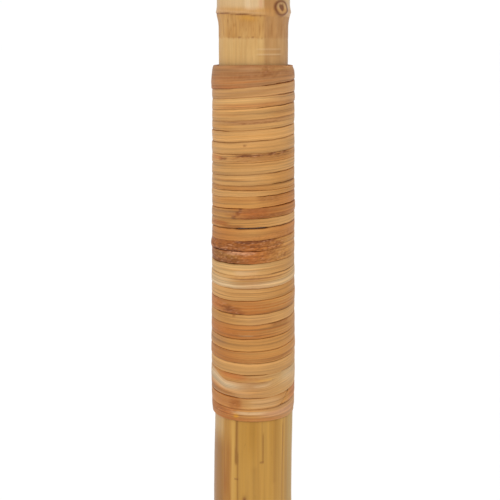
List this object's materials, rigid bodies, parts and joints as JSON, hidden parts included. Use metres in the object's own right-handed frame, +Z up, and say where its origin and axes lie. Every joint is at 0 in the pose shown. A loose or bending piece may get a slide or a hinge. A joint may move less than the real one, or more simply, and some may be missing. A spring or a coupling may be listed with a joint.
{
  "type": "bamboo garden torch",
  "caption": "Bamboo garden torch: a pointed pole in sections joined by a cane-bound sleeve, and a flared woven basket that holds an oil canister with its wick and snuffer.",
  "frame": {"origin": "on the torch's axis at ground level, 230 mm above the tip of the point", "axes": "+Z up along the pole to the basket; -Y is the front, which the picture shows"},
  "size_m": [0.1302, 0.1302, 1.5603],
  "materials": {
    "bamboo_culm": "satin",
    "bamboo_slat": "satin",
    "weave_strip": "satin",
    "split_cane": "satin",
    "turned_wood": "satin",
    "steel_tube": "zinc plated",
    "brad_steel": "bright",
    "tinplate": "satin",
    "brass": "satin",
    "black_rubber": "matte",
    "wick_braid": "matte"
  },
  "bodies": {
    "lower_section": {"lower_pole": "bamboo_culm", "ferrule_tube": "steel_tube", "ferrule_brads": "brad_steel", "binding_cane_lower": "split_cane", "binding_cane_middle": "split_cane", "binding_cane_upper": "split_cane"},
    "upper_section": {"upper_pole": "bamboo_culm", "basket_rib_01": "bamboo_slat", "basket_rib_02": "bamboo_slat", "basket_rib_03": "bamboo_slat", "basket_rib_04": "bamboo_slat", "basket_rib_05": "bamboo_slat", "basket_rib_06": "bamboo_slat", "basket_rib_07": "bamboo_slat", "basket_rib_08": "bamboo_slat", "basket_rib_09": "bamboo_slat", "basket_rib_10": "bamboo_slat", "basket_rib_11": "bamboo_slat", "basket_rib_12": "bamboo_slat", "rib_brads": "brad_steel", "neck_binding": "split_cane", "weave_row_01": "weave_strip", "weave_row_02": "weave_strip", "weave_row_03": "weave_strip", "weave_row_04": "weave_strip", "weave_row_05": "weave_strip", "weave_row_06": "weave_strip", "weave_row_07": "weave_strip", "weave_row_08": "weave_strip", "weave_row_09": "weave_strip", "weave_row_10": "weave_strip", "weave_row_11": "weave_strip", "weave_row_12": "weave_strip", "weave_row_13": "weave_strip", "weave_row_14": "weave_strip", "weave_row_15": "weave_strip", "weave_row_16": "weave_strip", "weave_row_17": "weave_strip", "rim_hoop_outer": "bamboo_slat", "rim_hoop_inner": "bamboo_slat", "rim_lashing": "split_cane"},
    "canister": {"canister_body": "tinplate", "canister_top": "tinplate"},
    "burner": {"burner_cap": "tinplate", "burner_stopper": "black_rubber", "wick_tube": "brass"},
    "wick": {"wick": "wick_braid"},
    "snuffer": {"snuffer_cup": "tinplate", "snuffer_knob": "turned_wood", "snuffer_rivet": "brad_steel"}
  },
  "joints": [
    {"name": "upper_section_pull", "type": "slide", "parent": "lower_section", "child": "upper_section", "axis": [0, 0, 1], "range_m": [0, 0.09]},
    {"name": "canister_lift", "type": "slide", "parent": "upper_section", "child": "canister", "axis": [0, 0, 1], "range_m": [0, 0.11]},
    {"name": "burner_pull", "type": "slide", "parent": "canister", "child": "burner", "axis": [0, 0, 1], "range_m": [0, 0.1]},
    {"name": "wick_feed", "type": "slide", "parent": "burner", "child": "wick", "axis": [0, 0, 1], "range_m": [-0.006, 0.015]},
    {"name": "snuffer_lift", "type": "slide", "parent": "burner", "child": "snuffer", "axis": [0, 0, 1], "range_m": [0, 0.05]}
  ]
}
